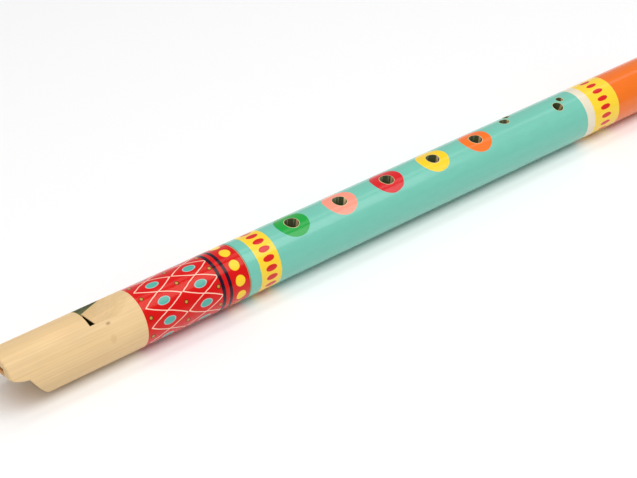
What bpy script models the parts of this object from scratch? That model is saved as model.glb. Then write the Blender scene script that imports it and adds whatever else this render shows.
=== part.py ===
"""Painted wooden soprano recorder: a straight tube in two joints, a pressed-in block and a cork-lapped tenon.

The tube lies along X with its mouthpiece at -X, its finger holes facing +Z and its lowest line on Z = 0.
A station is a distance along the tube from the mouthpiece tip. An angle round the tube is measured from the
finger-hole line, and grows towards the player's right, which is -Y. All sizes are in metres.
"""
import math

import bmesh
import bpy
from mathutils import Matrix, Vector

MM = 0.001

# The tube
TOTAL_LENGTH = 325.0 * MM
OUTER_RADIUS = 10.25 * MM
BORE_RADIUS = 5.5 * MM
HEAD_LENGTH = 95.0 * MM
HEAD_TURN = math.radians(-10.0)  # the head stands turned to the player's left of the hole line
TURNED_SIDES = 72
EDGE_BREAK = 0.25 * MM
TIP_ROUNDING = 0.7 * MM
FOOT_ROUNDING = 1.0 * MM
FOOT_BORE_ROUNDING = 0.6 * MM
ROUNDING_STEPS = 3

# How closely pieces fit
SEAM_GAP = 0.3 * MM
FIT_GAP = 0.3 * MM

# Tenon, socket and cork
TENON_LENGTH = 22.0 * MM
TENON_RADIUS = 8.0 * MM
TENON_CHAMFER = 0.6 * MM
CORK_LENGTH = 12.0 * MM
CORK_THICKNESS = 0.7 * MM
CORK_EDGE = 0.2 * MM
CORK_FROM_SHOULDER = 4.5 * MM
SOCKET_CHAMFER = 0.5 * MM

# Windway, window and labium
WINDOW_START = 32.6 * MM
WINDOW_LENGTH = 4.2 * MM
WINDOW_WIDTH = 11.6 * MM
WINDWAY_WIDTH = 10.6 * MM
WINDWAY_FLOOR = 5.6 * MM  # above the tube's axis
WINDWAY_ENTRY_HEIGHT = 1.5 * MM
WINDWAY_EXIT_HEIGHT = 1.2 * MM
WINDWAY_CHAMFER = 0.4 * MM
LABIUM_RISE = 0.3 * MM  # the labium's upper edge above the windway's floor
RAMP_ANGLE = math.radians(17.5)
RAMP_END_WIDTH = 13.0 * MM
UNDERCUT_LENGTH = 8.0 * MM
UNDERCUT_DROP = 1.4 * MM

# Beak, whose underside is cut away in a short lip and a hollow slope
BEAK_TIP_THICKNESS = 5.9 * MM
BEAK_LIP_LENGTH = 6.4 * MM
BEAK_LIP_DROP = 2.1 * MM
BEAK_LIP_HOLLOW = 0.35 * MM
BEAK_LENGTH = 17.0 * MM
BEAK_SLOPE_HOLLOW = 0.9 * MM
BEAK_ARC_STEPS = 6

# Finger holes: station, angle in degrees, diameter
FINGER_HOLES = {
    "left_index": (121.0 * MM, 0.0, 5.4 * MM),
    "left_middle": (143.4 * MM, 0.0, 5.4 * MM),
    "left_ring": (166.3 * MM, 0.0, 5.4 * MM),
    "right_index": (189.5 * MM, 0.0, 5.2 * MM),
    "right_middle": (212.0 * MM, 0.0, 5.2 * MM),
    "right_ring_large": (230.0 * MM, -13.5, 4.0 * MM),
    "right_ring_small": (234.0 * MM, -30.0, 2.8 * MM),
    "little_large": (255.4 * MM, 13.0, 4.4 * MM),
    "little_small": (259.3 * MM, -4.0, 2.9 * MM),
    "thumb": (113.0 * MM, 180.0, 5.4 * MM),
}
HOLE_SIDES = 28

# How far a cutter reaches past the wood it cuts
CLEAR = 2.0 * MM

# Worked out from the sizes above
FACET_TURN = math.pi / TURNED_SIDES
SHOULDER = HEAD_LENGTH + SEAM_GAP
TENON_END = SHOULDER - TENON_LENGTH
SOCKET_RADIUS = TENON_RADIUS + FIT_GAP
SOCKET_BOTTOM = TENON_END - FIT_GAP
CORK_START = SHOULDER - CORK_FROM_SHOULDER - CORK_LENGTH
CORK_END = SHOULDER - CORK_FROM_SHOULDER
CORK_GROOVE_RADIUS = TENON_RADIUS - CORK_THICKNESS - FIT_GAP
WINDOW_END = WINDOW_START + WINDOW_LENGTH
LABIUM_HEIGHT = WINDWAY_FLOOR + LABIUM_RISE
BEAK_TIP_HEIGHT = OUTER_RADIUS - BEAK_TIP_THICKNESS
BEAK_LIP_HEIGHT = BEAK_TIP_HEIGHT - BEAK_LIP_DROP


def clear_scene():
    for obj in list(bpy.data.objects):
        bpy.data.objects.remove(obj, do_unlink=True)


def new_collection(name):
    collection = bpy.data.collections.new(name)
    bpy.context.scene.collection.children.link(collection)
    return collection


def wood_material(name, colour, roughness):
    material = bpy.data.materials.new(name)
    material.use_nodes = True
    shader = material.node_tree.nodes["Principled BSDF"]
    shader.inputs["Base Color"].default_value = (*colour, 1.0)
    shader.inputs["Roughness"].default_value = roughness
    shader.inputs["Metallic"].default_value = 0.0
    return material


def tube_axis(name, turn):
    """An empty on the tube's axis at the mouthpiece tip, so that children are placed by station."""
    axis = bpy.data.objects.new(name, None)
    axis.empty_display_size = OUTER_RADIUS
    axis.location = (-TOTAL_LENGTH / 2, 0.0, OUTER_RADIUS)
    axis.rotation_euler.x = turn
    bpy.context.scene.collection.objects.link(axis)
    return axis


def place(name, mesh, axis, collection, material=None):
    obj = bpy.data.objects.new(name, mesh)
    obj.parent = axis
    collection.objects.link(obj)
    if material:
        mesh.materials.append(material)
    return obj


def as_cutter(obj):
    obj.hide_render = True
    obj.display_type = "WIRE"
    return obj


def quarter_round(centre_station, centre_radius, size, start, end):
    """Points of a rounded edge, as (station, radius), from one angle to another in degrees."""
    points = []
    for step in range(ROUNDING_STEPS + 1):
        angle = math.radians(start + (end - start) * step / ROUNDING_STEPS)
        along = centre_station + size * math.cos(angle)
        out = centre_radius + size * math.sin(angle)
        points.append((along, out))
    return points


def turned_mesh(name, profile):
    """A closed outline of (station, radius) points, to be turned round the tube's axis.

    The outline runs along the outside from the mouthpiece end and comes back along the bore. A radius is
    measured to the middle of a facet, and a facet faces straight down.
    """
    mesh = bpy.data.meshes.new(name)
    shape = bmesh.new()
    turn = Matrix.Rotation(FACET_TURN, 3, "X")
    corner = 1.0 / math.cos(FACET_TURN)
    points = []
    for station, radius in reversed(profile):
        points.append(shape.verts.new(turn @ Vector((station, 0.0, radius * corner))))
    for here, there in zip(points, points[1:] + points[:1]):
        shape.edges.new((here, there))
    shape.to_mesh(mesh)
    shape.free()
    return mesh


def add_screw(obj):
    screw = obj.modifiers.new("turned", "SCREW")
    screw.axis = "X"
    screw.angle = 2 * math.pi
    screw.steps = TURNED_SIDES
    screw.render_steps = TURNED_SIDES
    screw.use_merge_vertices = True
    screw.merge_threshold = 0.001 * MM
    screw.use_smooth_shade = False
    return screw


def prism_mesh(name, outline, half_width_at):
    """An outline of (station, height) points, widened to both sides by half_width_at(station)."""
    mesh = bpy.data.meshes.new(name)
    shape = bmesh.new()
    points = [shape.verts.new((station, -1.0, height)) for station, height in outline]
    face = shape.faces.new(points)
    grown = bmesh.ops.extrude_face_region(shape, geom=[face])["geom"]
    far_side = [item for item in grown if isinstance(item, bmesh.types.BMVert)]
    bmesh.ops.translate(shape, verts=far_side, vec=(0.0, 2.0, 0.0))
    for vert in shape.verts:
        vert.co.y *= half_width_at(vert.co.x)
    bmesh.ops.recalc_face_normals(shape, faces=shape.faces)
    shape.to_mesh(mesh)
    shape.free()
    return mesh


def straight(width):
    return lambda station: width / 2


def cut(obj, cutter):
    boolean = obj.modifiers.new(cutter.name, "BOOLEAN")
    boolean.operation = "DIFFERENCE"
    boolean.solver = "EXACT"
    boolean.object = cutter


def join(obj, other):
    boolean = obj.modifiers.new(other.name, "BOOLEAN")
    boolean.operation = "UNION"
    boolean.solver = "EXACT"
    boolean.object = other


def hollow_curve(start, end, hollow, steps):
    """Points on a shallow arc between two (station, height) points, sunk by hollow at its middle."""
    (x0, z0), (x1, z1) = start, end
    length = math.hypot(x1 - x0, z1 - z0)
    side_x = -(z1 - z0) / length
    side_z = (x1 - x0) / length
    points = []
    for step in range(steps + 1):
        share = step / steps
        sink = 4 * hollow * share * (1 - share)
        along = x0 + (x1 - x0) * share + side_x * sink
        height = z0 + (z1 - z0) * share + side_z * sink
        points.append((along, height))
    return points


def beak_cutter(axis, cutters):
    """The wood under the beak: below a short lip, then below a hollow slope down to the tube's underside."""
    tip = (0.0, BEAK_TIP_HEIGHT)
    lip_end = (BEAK_LIP_LENGTH, BEAK_LIP_HEIGHT)
    heel = (BEAK_LENGTH, -OUTER_RADIUS)
    lip = hollow_curve(tip, lip_end, -BEAK_LIP_HOLLOW, BEAK_ARC_STEPS)
    slope = hollow_curve(lip_end, heel, -BEAK_SLOPE_HOLLOW, BEAK_ARC_STEPS)
    outline = [(-CLEAR, BEAK_TIP_HEIGHT + BEAK_LIP_HOLLOW)]
    outline += lip + slope[1:]
    outline += [(BEAK_LENGTH, -OUTER_RADIUS - CLEAR), (-CLEAR, -OUTER_RADIUS - CLEAR)]
    mesh = prism_mesh("beak_cut", outline, straight(2 * OUTER_RADIUS + 2 * CLEAR))
    return as_cutter(place("beak_cut", mesh, axis, cutters))


def windway_cutter(axis, cutters):
    """The flat channel that carries the breath over the block, a little lower where it leaves."""
    entry_roof = WINDWAY_FLOOR + WINDWAY_ENTRY_HEIGHT
    exit_roof = WINDWAY_FLOOR + WINDWAY_EXIT_HEIGHT
    fall = (entry_roof - exit_roof) / WINDOW_START
    outline = [
        (-CLEAR, 0.0),
        (-CLEAR, entry_roof + fall * CLEAR),
        (WINDOW_START - WINDWAY_CHAMFER, exit_roof + fall * WINDWAY_CHAMFER),
        (WINDOW_START + WINDWAY_CHAMFER, exit_roof + 2 * WINDWAY_CHAMFER),
        (WINDOW_START + WINDWAY_CHAMFER, 0.0),
    ]
    mesh = prism_mesh("windway_cut", outline, straight(WINDWAY_WIDTH))
    return as_cutter(place("windway_cut", mesh, axis, cutters))


def window_cutter(axis, cutters):
    """The window, from the open air down to the bore."""
    bottom = math.sqrt(BORE_RADIUS**2 - (WINDWAY_WIDTH / 2) ** 2)
    outline = [
        (WINDOW_START, bottom),
        (WINDOW_START, OUTER_RADIUS + CLEAR),
        (WINDOW_END, OUTER_RADIUS + CLEAR),
        (WINDOW_END, bottom),
    ]
    mesh = prism_mesh("window_cut", outline, straight(WINDOW_WIDTH))
    return as_cutter(place("window_cut", mesh, axis, cutters))


def ramp_cutter(axis, cutters):
    """The long slope from the labium up to the outside, a little wider at its far end."""
    top = OUTER_RADIUS + CLEAR
    ramp_end = WINDOW_END + (OUTER_RADIUS - LABIUM_HEIGHT) / math.tan(RAMP_ANGLE)
    cutter_end = WINDOW_END + (top - LABIUM_HEIGHT) / math.tan(RAMP_ANGLE)
    before = WINDOW_LENGTH / 2
    outline = [
        (WINDOW_END - before, LABIUM_HEIGHT - before * math.tan(RAMP_ANGLE)),
        (WINDOW_END - before, top),
        (cutter_end, top),
    ]
    flare = (RAMP_END_WIDTH - WINDOW_WIDTH) / 2 / (ramp_end - WINDOW_START)

    def half_width_at(station):
        return WINDOW_WIDTH / 2 + flare * (station - WINDOW_START)

    mesh = prism_mesh("ramp_cut", outline, half_width_at)
    return as_cutter(place("ramp_cut", mesh, axis, cutters))


def undercut_cutter(axis, cutters):
    """The hollow under the labium, which leaves it a thin straight edge."""
    outline = [
        (WINDOW_END - WINDOW_LENGTH / 2, WINDWAY_FLOOR),
        (WINDOW_END, WINDWAY_FLOOR),
        (WINDOW_END + UNDERCUT_LENGTH, WINDWAY_FLOOR - UNDERCUT_DROP),
        (WINDOW_END + UNDERCUT_LENGTH, 0.0),
        (WINDOW_END - WINDOW_LENGTH / 2, 0.0),
    ]
    mesh = prism_mesh("undercut", outline, straight(WINDWAY_WIDTH))
    return as_cutter(place("undercut", mesh, axis, cutters))


def add_head_joint(axis, parts, cutters, beak):
    profile = quarter_round(TIP_ROUNDING, OUTER_RADIUS - TIP_ROUNDING, TIP_ROUNDING, 180.0, 90.0)
    profile += [
        (HEAD_LENGTH - EDGE_BREAK, OUTER_RADIUS),
        (HEAD_LENGTH, OUTER_RADIUS - EDGE_BREAK),
        (HEAD_LENGTH, SOCKET_RADIUS + SOCKET_CHAMFER),
        (HEAD_LENGTH - SOCKET_CHAMFER, SOCKET_RADIUS),
        (SOCKET_BOTTOM, SOCKET_RADIUS),
        (SOCKET_BOTTOM, BORE_RADIUS),
        (0.0, BORE_RADIUS),
    ]
    material = wood_material("red_paint_on_wood", (0.62, 0.02, 0.02), 0.25)
    head = place("head_joint", turned_mesh("head_joint", profile), axis, parts, material)
    add_screw(head)
    cut(head, windway_cutter(axis, cutters))
    cut(head, window_cutter(axis, cutters))
    cut(head, undercut_cutter(axis, cutters))
    cut(head, ramp_cutter(axis, cutters))
    cut(head, beak)
    return head


def add_fipple_block(axis, parts, cutters, beak):
    """The plug that closes the bore under the windway, with a flat top as wide as the windway."""
    material = wood_material("bare_wood_block", (0.62, 0.42, 0.22), 0.6)
    bar = round_bar_mesh("fipple_block", WINDOW_START, BORE_RADIUS - FIT_GAP)
    block = place("fipple_block", bar, axis, parts, material)
    floor_outline = [
        (0.0, 0.0),
        (0.0, WINDWAY_FLOOR),
        (WINDOW_START - WINDWAY_CHAMFER, WINDWAY_FLOOR),
        (WINDOW_START, WINDWAY_FLOOR - WINDWAY_CHAMFER),
        (WINDOW_START, 0.0),
    ]
    floor_mesh = prism_mesh("windway_floor", floor_outline, straight(WINDWAY_WIDTH - 2 * FIT_GAP))
    join(block, as_cutter(place("windway_floor", floor_mesh, axis, cutters)))
    cut(block, beak)


def round_bar_mesh(name, length, middle_radius):
    """A solid round bar from the mouthpiece tip along the axis, with a facet facing straight down."""
    radius = middle_radius / math.cos(FACET_TURN)
    mesh = bpy.data.meshes.new(name)
    shape = bmesh.new()
    bmesh.ops.create_cone(
        shape,
        cap_ends=True,
        cap_tris=False,
        segments=TURNED_SIDES,
        radius1=radius,
        radius2=radius,
        depth=length,
    )
    upright_to_x = Matrix.Rotation(math.pi / 2, 4, "Y")
    facet_down = Matrix.Rotation(FACET_TURN, 4, "X")
    middle = Matrix.Translation((length / 2, 0.0, 0.0))
    bmesh.ops.transform(shape, matrix=middle @ facet_down @ upright_to_x, verts=shape.verts)
    shape.to_mesh(mesh)
    shape.free()
    return mesh


def hole_cutter(name, station, angle, diameter, axis, cutters):
    """A drill through one wall, from inside the bore out past the surface."""
    inner = BORE_RADIUS / 3
    outer = OUTER_RADIUS + CLEAR
    mesh = bpy.data.meshes.new(name)
    shape = bmesh.new()
    bmesh.ops.create_cone(
        shape,
        cap_ends=True,
        segments=HOLE_SIDES,
        radius1=diameter / 2,
        radius2=diameter / 2,
        depth=outer - inner,
    )
    lift = Matrix.Translation((station, 0.0, (inner + outer) / 2))
    turn = Matrix.Rotation(math.radians(angle), 4, "X")
    bmesh.ops.transform(shape, matrix=turn @ lift, verts=shape.verts)
    shape.to_mesh(mesh)
    shape.free()
    return as_cutter(place(name, mesh, axis, cutters))


def add_body_joint(axis, parts, cutters):
    """The long joint, from the tenon that the head slides on to the open foot."""
    profile = [
        (TENON_END, TENON_RADIUS - TENON_CHAMFER),
        (TENON_END + TENON_CHAMFER, TENON_RADIUS),
        (CORK_START - FIT_GAP, TENON_RADIUS),
        (CORK_START - FIT_GAP, CORK_GROOVE_RADIUS),
        (CORK_END + FIT_GAP, CORK_GROOVE_RADIUS),
        (CORK_END + FIT_GAP, TENON_RADIUS),
        (SHOULDER, TENON_RADIUS),
        (SHOULDER, OUTER_RADIUS - EDGE_BREAK),
        (SHOULDER + EDGE_BREAK, OUTER_RADIUS),
    ]
    foot_edge = TOTAL_LENGTH - FOOT_ROUNDING
    profile += quarter_round(foot_edge, OUTER_RADIUS - FOOT_ROUNDING, FOOT_ROUNDING, 90.0, 0.0)
    bore_edge = TOTAL_LENGTH - FOOT_BORE_ROUNDING
    profile += quarter_round(bore_edge, BORE_RADIUS + FOOT_BORE_ROUNDING, FOOT_BORE_ROUNDING, 0.0, -90.0)
    profile.append((TENON_END, BORE_RADIUS))
    material = wood_material("teal_paint_on_wood", (0.20, 0.60, 0.50), 0.25)
    body = place("body_joint", turned_mesh("body_joint", profile), axis, parts, material)
    add_screw(body)
    for name, (station, angle, diameter) in FINGER_HOLES.items():
        cut(body, hole_cutter("hole_" + name, station, angle, diameter, axis, cutters))
    return body


def add_tenon_cork(axis, parts):
    """The cork ring in the tenon's groove, which grips the head's socket."""
    inner = CORK_GROOVE_RADIUS + FIT_GAP
    outer = inner + CORK_THICKNESS
    profile = [
        (CORK_START, inner),
        (CORK_START, outer - CORK_EDGE),
        (CORK_START + CORK_EDGE, outer),
        (CORK_END - CORK_EDGE, outer),
        (CORK_END, outer - CORK_EDGE),
        (CORK_END, inner),
    ]
    material = wood_material("cork", (0.50, 0.30, 0.15), 0.9)
    cork = place("tenon_cork", turned_mesh("tenon_cork", profile), axis, parts, material)
    add_screw(cork)
    return cork


def main():
    clear_scene()
    parts = new_collection("recorder")
    cutters = new_collection("cutters")
    body_axis = tube_axis("body_axis", 0.0)
    head_axis = tube_axis("head_turn_axis", HEAD_TURN)
    add_body_joint(body_axis, parts, cutters)
    add_tenon_cork(body_axis, parts)
    beak = beak_cutter(head_axis, cutters)
    add_head_joint(head_axis, parts, cutters, beak)
    add_fipple_block(head_axis, parts, cutters, beak)


main()
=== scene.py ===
"""Looks of a painted wooden soprano recorder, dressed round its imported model.

Painted places are given as a station, in mm from the mouthpiece tip, and an angle in degrees round the tube,
which is measured from the finger-hole line and grows towards the player's right, -Y.
"""
import math

import bmesh
import bpy
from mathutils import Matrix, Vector


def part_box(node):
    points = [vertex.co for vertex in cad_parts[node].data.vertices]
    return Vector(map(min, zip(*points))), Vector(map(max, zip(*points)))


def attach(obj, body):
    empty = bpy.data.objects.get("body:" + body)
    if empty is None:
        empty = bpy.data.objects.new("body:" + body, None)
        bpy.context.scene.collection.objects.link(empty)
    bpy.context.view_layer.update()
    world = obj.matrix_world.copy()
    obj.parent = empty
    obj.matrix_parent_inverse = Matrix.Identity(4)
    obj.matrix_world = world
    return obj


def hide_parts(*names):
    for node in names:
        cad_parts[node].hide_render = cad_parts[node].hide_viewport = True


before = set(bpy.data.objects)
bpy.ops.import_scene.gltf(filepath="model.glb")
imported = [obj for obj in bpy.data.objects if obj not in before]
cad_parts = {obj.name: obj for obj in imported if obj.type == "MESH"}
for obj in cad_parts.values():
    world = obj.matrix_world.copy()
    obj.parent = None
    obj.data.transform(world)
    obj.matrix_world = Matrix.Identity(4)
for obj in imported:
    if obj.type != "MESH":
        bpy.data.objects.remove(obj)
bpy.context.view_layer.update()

MM = 0.001

# The tube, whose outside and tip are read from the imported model, and the station where the beak's slope ends
OUTER_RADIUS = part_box("body_joint")[1][2] / 2
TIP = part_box("head_joint")[0][0]
BORE_RADIUS = 5.5 * MM
BEAK_END = 17.2

# Shading: corners nearer than WELD are one, and a face is turned if its corners lie this near the radius
# and its middle looks this straight away from the axis or towards it
WELD = 0.001 * MM
RADIUS_SLACK = 0.08 * MM
FACET_SLACK = math.cos(math.radians(4.0))
SHARP_EDGE = math.radians(28.0)

# Finishes: the order in which a joint's are given, how far in from the outside paint can be, and the share
# of a face's direction that makes it square to the tube, or turned outward
BARE, INNER, PAINTED = range(3)
PAINT_DEPTH = 1.05 * MM
SQUARE_FACE = 0.95
OUTWARD = 0.5

# Painted bands, in stations
PAINT_START = 51.8
NAVY_RINGS = ((83.0, 84.4), (86.0, 87.3))
UPPER_YELLOW = (100.0, 108.9)
CREAM_RING = (266.5, 270.8)
LOWER_YELLOW = (270.8, 285.0)
FOOT_START = 285.0

# The lozenge lattice on the head
LOZENGE_COLUMNS = ((60.7, 14.6), (76.0, 14.4))
LOZENGE_ROWS = 9
LOZENGE_FIRST = -2.0
LOZENGE_LINE = 0.33
LOZENGE_BULGE = 1.1
LOZENGE_OVAL = (4.3, 2.4)
OVAL_OUTLINE = 0.2
DOT_STATIONS = (53.8, 68.3, 82.0)
DOT_SIZE = 1.1
DOT_OUTLINE = 0.3

# Rows of ovals: station, count round the tube, first angle, length, width
HEAD_OVALS = (91.0, 11, 0.5, 4.0, 4.0)
UPPER_OVALS = (104.6, 18, 9.0, 4.8, 2.3)
LOWER_OVALS = (277.4, 18, -1.0, 5.4, 2.0)

# Finger holes, whose rims show bare wood: station, angle, diameter
HOLES = (
    (121.0, 0.0, 5.4),
    (143.4, 0.0, 5.4),
    (166.3, 0.0, 5.4),
    (189.5, 0.0, 5.2),
    (212.0, 0.0, 5.2),
    (230.0, -13.5, 4.0),
    (234.0, -30.0, 2.8),
    (255.4, 13.0, 4.4),
    (259.3, -4.0, 2.9),
    (113.0, 180.0, 5.4),
)
RIM = 0.17

# Round patches about the finger holes
PATCH_SIZE = 13.1

# Edges of painted shapes: how soft they are, and how far and how finely they waver
EDGE_SOFTNESS = 0.12
SPOT_SOFTNESS = 0.7
PAINT_WOBBLE = 0.35
WOBBLE_SCALE = 420.0

# The knot and the smudge in the bare wood: station, angle, length, width
KNOT = (38.8, 33.5, 1.3, 0.8)
SMUDGE = (38.5, 64.0, 2.2, 3.0)

# Noise scales along, across and up: the wood's and the cork's grain, and the clouds and ripple in the paint
FINE_GRAIN = (35.0, 1500.0, 1500.0)
BROAD_GRAIN = (12.0, 260.0, 260.0)
WOOD_CLOUDS = (60.0, 90.0, 90.0)
INNER_GRAIN = (80.0, 1200.0, 1200.0)
BLOCK_GRAIN = (60.0, 900.0, 900.0)
CORK_GRAIN = (1300.0, 1300.0, 1300.0)
PAINT_CLOUDS = (160.0, 420.0, 420.0)
PAINT_RIPPLE = (220.0, 700.0, 700.0)

# Gloss paint
PAINT_ROUGHNESS = 0.24
PAINT_SPECULAR = 0.25
COAT_WEIGHT = 0.35
COAT_ROUGHNESS = 0.12

# Camera, floor and world
CAMERA_PLACE = (-0.3771, -0.3667, 0.3934)
CAMERA_TURN = (52.55, -3.99, -40.56)
LENS = 100.0
FLOOR_SIZE = 8.0
FLOOR_COLOUR = (0.93, 0.93, 0.93, 1.0)
FLOOR_ROUGHNESS = 0.55
WORLD_COLOUR = (1.0, 1.0, 1.0, 1.0)
WORLD_STRENGTH = 0.46

# Lights, which look at the origin: place, size and power
OVERHEAD = ((0.0, -0.3, 0.95), (1.6, 0.6), 8.0)
STRIP = ((0.0, 0.16, 0.62), (1.6, 0.13), 1.0)


def linear(red, green, blue):
    """A colour given in display values from 0 to 255."""
    shares = []
    for value in (red, green, blue):
        share = value / 255
        shares.append(share / 12.92 if share <= 0.04045 else ((share + 0.055) / 1.055) ** 2.4)
    return (*shares, 1.0)


PALE_WOOD = linear(234, 202, 152)
GRAIN_WOOD = linear(206, 166, 112)
# The wood inside the bore, the holes and the window walls, painted dark olive as painted shade
SHADED_INNER_WOOD = linear(94, 102, 66)
RIM_WOOD = linear(214, 200, 150)
KNOT_BROWN = linear(128, 88, 52)
# The block, painted a darker orange-brown than the pale wood as painted shade on its end in the window
SHADED_BLOCK_WOOD = linear(206, 152, 92)
CORK = linear(176, 124, 78)
RED = linear(212, 4, 10)
WARM_SHEEN = linear(255, 160, 96)
NAVY = linear(6, 0, 34)
CREAM_LINE = linear(255, 214, 190)
TURQUOISE = linear(80, 174, 160)
PALE_BLUE = linear(156, 202, 200)
GOLD = linear(196, 150, 60)
DARK_OUTLINE = linear(84, 26, 10)
YELLOW = linear(250, 210, 44)
OVAL_RED = linear(214, 18, 8)
TEAL = linear(114, 194, 174)
CREAM = linear(232, 220, 196)
ORANGE = linear(238, 112, 6)
PATCHES = (
    (121.0, linear(0, 162, 58)),
    (143.4, linear(250, 150, 126)),
    (166.3, linear(214, 6, 16)),
    (189.5, linear(250, 206, 10)),
    (212.0, linear(246, 112, 4)),
)


class Finish:
    """One material, whose colour is laid on in layers by the place along and round the tube."""

    def __init__(self, name, colour, roughness):
        self.material = bpy.data.materials.new(name)
        self.material.use_nodes = True
        self.nodes = self.material.node_tree.nodes
        self.links = self.material.node_tree.links
        self.shader = self.nodes["Principled BSDF"]
        self.shader.inputs["Roughness"].default_value = roughness
        self.place = self.nodes.new("ShaderNodeTexCoord").outputs["Object"]
        axes = self.nodes.new("ShaderNodeSeparateXYZ")
        self.feed(axes.inputs[0], self.place)
        wobble = self.calc("SUBTRACT", self.noise((WOBBLE_SCALE,) * 3, 2.0), 0.5)
        straight = self.calc("MULTIPLY_ADD", axes.outputs["X"], 1 / MM, -TIP / MM)
        self.station = self.calc("MULTIPLY_ADD", wobble, PAINT_WOBBLE, straight)
        side = self.calc("MULTIPLY", axes.outputs["Y"], -1.0)
        height = self.calc("SUBTRACT", axes.outputs["Z"], OUTER_RADIUS)
        turn = self.calc("DEGREES", self.calc("ARCTAN2", side, height))
        self.angle = self.calc("MULTIPLY_ADD", wobble, PAINT_WOBBLE / arc(1.0), turn)
        self.colour = colour

    def feed(self, socket, value):
        if isinstance(value, bpy.types.NodeSocket):
            self.links.new(value, socket)
        else:
            socket.default_value = value

    def calc(self, operation, *values, clamp=False):
        node = self.nodes.new("ShaderNodeMath")
        node.operation = operation
        node.use_clamp = clamp
        for socket, value in zip(node.inputs, values):
            self.feed(socket, value)
        return node.outputs[0]

    def noise(self, scale, detail):
        stretched = self.nodes.new("ShaderNodeVectorMath")
        stretched.operation = "MULTIPLY"
        self.feed(stretched.inputs[0], self.place)
        stretched.inputs[1].default_value = scale
        texture = self.nodes.new("ShaderNodeTexNoise")
        texture.inputs["Scale"].default_value = 1.0
        texture.inputs["Detail"].default_value = detail
        self.feed(texture.inputs["Vector"], stretched.outputs[0])
        return texture.outputs["Fac"]

    def inside(self, distance, softness=EDGE_SOFTNESS):
        """1 where a distance in mm is below nought, and 0 beyond it."""
        return self.calc("MULTIPLY_ADD", distance, -1.0 / softness, 0.5, clamp=True)

    def band(self, start, end):
        off = self.calc("ABSOLUTE", self.calc("SUBTRACT", self.station, (start + end) / 2))
        return self.inside(self.calc("SUBTRACT", off, (end - start) / 2))

    def along(self, station):
        return self.calc("SUBTRACT", self.station, station)

    def round_from(self, count, first):
        """The way round the tube, in mm, from the nearest of count evenly spaced places."""
        step = 360.0 / count
        turn = self.calc("WRAP", self.calc("SUBTRACT", self.angle, first), step / 2, -step / 2)
        return self.calc("MULTIPLY", turn, arc(1.0))

    def oval(self, along, across, length, width):
        """How far outside an oval a place lies, in mm."""
        u = self.calc("DIVIDE", along, length / 2)
        v = self.calc("DIVIDE", across, width / 2)
        square = self.calc("ADD", self.calc("MULTIPLY", u, u), self.calc("MULTIPLY", v, v))
        beyond = self.calc("SUBTRACT", self.calc("SQRT", square), 1.0)
        return self.calc("MULTIPLY", beyond, min(length, width) / 2)

    def lay(self, mask, colour, blend="MIX"):
        layer = self.nodes.new("ShaderNodeMix")
        layer.data_type = "RGBA"
        layer.blend_type = blend
        self.feed(layer.inputs[0], mask)
        self.feed(layer.inputs[6], self.colour)
        self.feed(layer.inputs[7], colour)
        self.colour = layer.outputs[2]

    def vary(self, value, low, high):
        """Makes the colour lighter and darker with a value from 0 to 1."""
        self.lay(1.0, self.calc("MULTIPLY_ADD", value, high - low, low), "MULTIPLY")

    def bump(self, height, depth, strength):
        node = self.nodes.new("ShaderNodeBump")
        node.inputs["Strength"].default_value = strength
        node.inputs["Distance"].default_value = depth
        self.feed(node.inputs["Height"], height)
        self.feed(self.shader.inputs["Normal"], node.outputs[0])

    def done(self):
        self.feed(self.shader.inputs["Base Color"], self.colour)
        return self.material


def arc(degrees):
    """The way round the tube's outside, in mm, that an angle spans."""
    return math.radians(degrees) * OUTER_RADIUS / MM


def bare_wood():
    finish = Finish("bare_wood", PALE_WOOD, 0.5)
    grain = finish.noise(FINE_GRAIN, 5.0)
    broad = finish.noise(BROAD_GRAIN, 2.0)
    finish.lay(finish.calc("MULTIPLY_ADD", grain, 0.9, -0.24, clamp=True), GRAIN_WOOD)
    finish.vary(broad, 0.9, 1.1)
    finish.vary(finish.noise(WOOD_CLOUDS, 3.0), 0.93, 1.07)
    for spot, colour, share in ((SMUDGE, GRAIN_WOOD, 0.32), (KNOT, KNOT_BROWN, 0.8)):
        station, angle, length, width = spot
        shape = finish.oval(finish.along(station), finish.round_from(1, angle), length, width)
        finish.lay(finish.calc("MULTIPLY", finish.inside(shape, SPOT_SOFTNESS), share), colour)
    finish.shader.inputs["Specular IOR Level"].default_value = 0.3
    finish.bump(grain, 0.04 * MM, 0.15)
    return finish.done()


def plain_wood(name, colour, scale, roughness, contrast):
    finish = Finish(name, colour, roughness)
    grain = finish.noise(scale, 4.0)
    finish.vary(grain, 1.0 - contrast, 1.0 + contrast)
    finish.bump(grain, 0.08 * MM, 0.4)
    return finish.done()


def gloss(finish):
    """Sprayed gloss paint: a clear coat, a faint unevenness and slightly cloudy colour."""
    finish.vary(finish.noise(PAINT_CLOUDS, 3.0), 0.95, 1.05)
    finish.shader.inputs["Specular IOR Level"].default_value = PAINT_SPECULAR
    finish.shader.inputs["Coat Weight"].default_value = COAT_WEIGHT
    finish.shader.inputs["Coat Roughness"].default_value = COAT_ROUGHNESS
    finish.bump(finish.noise(PAINT_RIPPLE, 1.0), 0.02 * MM, 0.12)
    return finish.done()


def lay_ovals(finish, row, colour):
    station, count, first, length, width = row
    shape = finish.oval(finish.along(station), finish.round_from(count, first), length, width)
    finish.lay(finish.inside(shape), colour)


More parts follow.
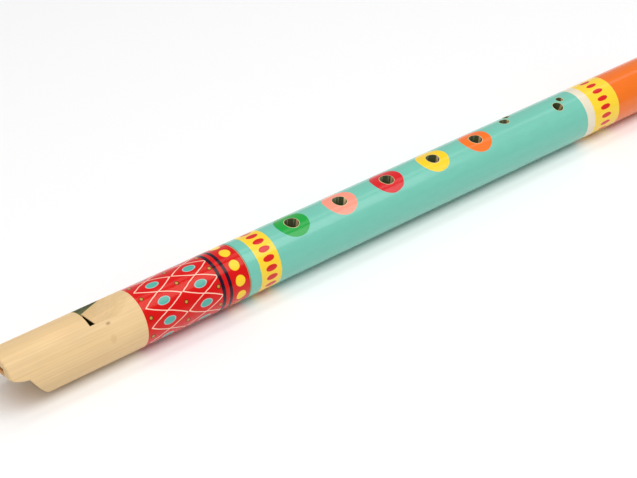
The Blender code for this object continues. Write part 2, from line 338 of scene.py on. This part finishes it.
def lay_lozenges(finish, centre, length):
    """One column of lozenges that touch side by side, with an outlined oval in each."""
    half_width = arc(180.0 / LOZENGE_ROWS)
    along = finish.along(centre)
    across = finish.round_from(LOZENGE_ROWS, LOZENGE_FIRST)
    u = finish.calc("DIVIDE", finish.calc("ABSOLUTE", along), length / 2)
    v = finish.calc("DIVIDE", finish.calc("ABSOLUTE", across), half_width)
    square_to_line = half_width * (length / 2) / math.hypot(half_width, length / 2)
    u = finish.calc("POWER", u, LOZENGE_BULGE)
    v = finish.calc("POWER", v, LOZENGE_BULGE)
    off = finish.calc("MULTIPLY", finish.calc("SUBTRACT", finish.calc("ADD", u, v), 1.0), square_to_line)
    line = finish.inside(finish.calc("SUBTRACT", finish.calc("ABSOLUTE", off), LOZENGE_LINE / 2))
    finish.lay(line, CREAM_LINE)
    shape = finish.oval(along, across, *LOZENGE_OVAL)
    finish.lay(finish.inside(finish.calc("SUBTRACT", shape, OVAL_OUTLINE)), PALE_BLUE)
    finish.lay(finish.inside(shape), TURQUOISE)


def head_paint():
    finish = Finish("red_paint", RED, PAINT_ROUGHNESS)
    for centre, length in LOZENGE_COLUMNS:
        lay_lozenges(finish, centre, length)
    for station in DOT_STATIONS:
        between_rows = LOZENGE_FIRST + 180.0 / LOZENGE_ROWS
        across = finish.round_from(LOZENGE_ROWS, between_rows)
        shape = finish.oval(finish.along(station), across, DOT_SIZE, DOT_SIZE)
        finish.lay(finish.inside(finish.calc("SUBTRACT", shape, DOT_OUTLINE)), DARK_OUTLINE)
        finish.lay(finish.inside(shape), GOLD)
    finish.lay(finish.band(NAVY_RINGS[0][0], NAVY_RINGS[1][1]), RED)
    for start, end in NAVY_RINGS:
        finish.lay(finish.band(start, end), NAVY)
    lay_ovals(finish, HEAD_OVALS, YELLOW)
    finish.shader.inputs["Specular Tint"].default_value = WARM_SHEEN
    return gloss(finish)


def body_paint():
    finish = Finish("teal_paint", TEAL, PAINT_ROUGHNESS)
    for station, colour in PATCHES:
        shape = finish.oval(finish.along(station), finish.round_from(1, 0.0), PATCH_SIZE, PATCH_SIZE)
        finish.lay(finish.inside(shape), colour)
    for station, angle, size in HOLES:
        rim = size + 2 * RIM
        shape = finish.oval(finish.along(station), finish.round_from(1, angle), rim, rim)
        finish.lay(finish.inside(shape), RIM_WOOD)
    for band, row in ((UPPER_YELLOW, UPPER_OVALS), (LOWER_YELLOW, LOWER_OVALS)):
        finish.lay(finish.band(*band), YELLOW)
        lay_ovals(finish, row, OVAL_RED)
    finish.lay(finish.band(*CREAM_RING), CREAM)
    beyond_foot = finish.inside(finish.calc("SUBTRACT", FOOT_START, finish.station))
    finish.lay(beyond_foot, ORANGE)
    return gloss(finish)


def radial(point):
    return Vector((0.0, point[1], point[2] - OUTER_RADIUS))


def turned_sign(mesh, polygon):
    """1 for a facet of the tube's outside, -1 for one of its bore and 0 for any other face."""
    out = [radial(mesh.vertices[index].co) for index in polygon.vertices]
    facing = polygon.normal.dot(radial(polygon.center).normalized())
    if facing > FACET_SLACK and all(abs(way.length - OUTER_RADIUS) < RADIUS_SLACK for way in out):
        return 1
    if facing < -FACET_SLACK and all(abs(way.length - BORE_RADIUS) < RADIUS_SLACK for way in out):
        return -1
    return 0


def round_off_shading(mesh):
    """Shades the turned faces as true cylinders, so that no facet or cut shows in a reflection."""
    mesh.shade_smooth()
    mesh.set_sharp_from_angle(angle=SHARP_EDGE)
    normals = [Vector(corner.vector) for corner in mesh.corner_normals]
    for polygon in mesh.polygons:
        sign = turned_sign(mesh, polygon)
        if sign:
            for corner in polygon.loop_indices:
                point = mesh.vertices[mesh.loops[corner].vertex_index].co
                normals[corner] = radial(point).normalized() * sign
    mesh.normals_split_custom_set(normals)


def welded_copy(node, name):
    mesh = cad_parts[node].data.copy()
    mesh.name = name
    mesh.materials.clear()
    shape = bmesh.new()
    shape.from_mesh(mesh)
    bmesh.ops.remove_doubles(shape, verts=shape.verts, dist=WELD)
    paint_edge = Vector((TIP + PAINT_START * MM, 0.0, 0.0))
    bmesh.ops.bisect_plane(shape, geom=shape.verts[:] + shape.edges[:] + shape.faces[:],
                           dist=WELD, plane_co=paint_edge, plane_no=(1.0, 0.0, 0.0))
    shape.to_mesh(mesh)
    shape.free()
    return mesh


def surface_kind(mesh, polygon):
    """Which finish a face takes: bare outer wood, wood inside a hole or the bore darkened with painted shade,
    or painted outside.
    """
    if abs(polygon.normal.x) > SQUARE_FACE or polygon.center.x < TIP + BEAK_END * MM:
        return BARE
    reach = min(radial(mesh.vertices[index].co).length for index in polygon.vertices)
    # Deep faces turned inward take the inner wood, which is darkened with painted shade
    if reach < OUTER_RADIUS - PAINT_DEPTH:
        outward = polygon.normal.dot(radial(polygon.center).normalized())
        return INNER if outward < OUTWARD else BARE
    return PAINTED if polygon.center.x > TIP + PAINT_START * MM else BARE


def dress(node, name, body, slot, *finishes):
    """Replaces a node by a copy of its solid, in one finish or in a joint's three."""
    mesh = welded_copy(node, name)
    for finish in finishes:
        mesh.materials.append(finish)
    for polygon in mesh.polygons:
        polygon.material_index = surface_kind(mesh, polygon) if len(finishes) > 1 else 0
    round_off_shading(mesh)
    piece = bpy.data.objects.new(name, mesh)
    bpy.context.scene.collection.objects.link(piece)
    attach(piece, body)
    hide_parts(node)


def add_floor():
    bpy.ops.mesh.primitive_plane_add(size=FLOOR_SIZE)
    floor = bpy.context.object
    floor.name = "floor"
    material = bpy.data.materials.new("white_floor")
    material.use_nodes = True
    shader = material.node_tree.nodes["Principled BSDF"]
    shader.inputs["Base Color"].default_value = FLOOR_COLOUR
    shader.inputs["Roughness"].default_value = FLOOR_ROUGHNESS
    floor.data.materials.append(material)


def add_light(name, place, size, power):
    light = bpy.data.lights.new(name, "AREA")
    light.shape = "RECTANGLE"
    light.size, light.size_y = size
    light.energy = power
    lamp = bpy.data.objects.new(name, light)
    lamp.location = place
    lamp.rotation_euler = (Vector() - Vector(place)).to_track_quat("-Z", "Y").to_euler()
    bpy.context.scene.collection.objects.link(lamp)


def add_studio():
    scene = bpy.context.scene
    scene.view_settings.view_transform = "Standard"
    world = bpy.data.worlds.new("studio")
    world.use_nodes = True
    background = world.node_tree.nodes["Background"]
    background.inputs["Color"].default_value = WORLD_COLOUR
    background.inputs["Strength"].default_value = WORLD_STRENGTH
    scene.world = world
    add_light("overhead", *OVERHEAD)
    add_light("strip", *STRIP)


def add_camera():
    lens = bpy.data.cameras.new("camera")
    lens.lens = LENS
    camera = bpy.data.objects.new("camera", lens)
    camera.location = CAMERA_PLACE
    camera.rotation_euler = [math.radians(turn) for turn in CAMERA_TURN]
    bpy.context.scene.collection.objects.link(camera)
    bpy.context.scene.camera = camera


def main():
    wood = bare_wood()
    # The inner finish is the pale wood darkened with painted shade
    inner = plain_wood("shaded_inner_wood", SHADED_INNER_WOOD, INNER_GRAIN, 0.7, 0.12)
    dress("head_joint", "painted_head", "head", "painted_head", wood, inner, head_paint())
    dress("body_joint", "painted_body", "body", "painted_body", wood, inner, body_paint())
    # The block's darker orange-brown is painted shade
    block = plain_wood("shaded_block_wood", SHADED_BLOCK_WOOD, BLOCK_GRAIN, 0.65, 0.28)
    dress("fipple_block", "windway_block", "head", "bare_block", block)
    cork = plain_wood("cork", CORK, CORK_GRAIN, 0.9, 0.35)
    dress("tenon_cork", "cork_lapping", "lapping", "cork", cork)
    add_floor()
    add_studio()
    add_camera()


main()
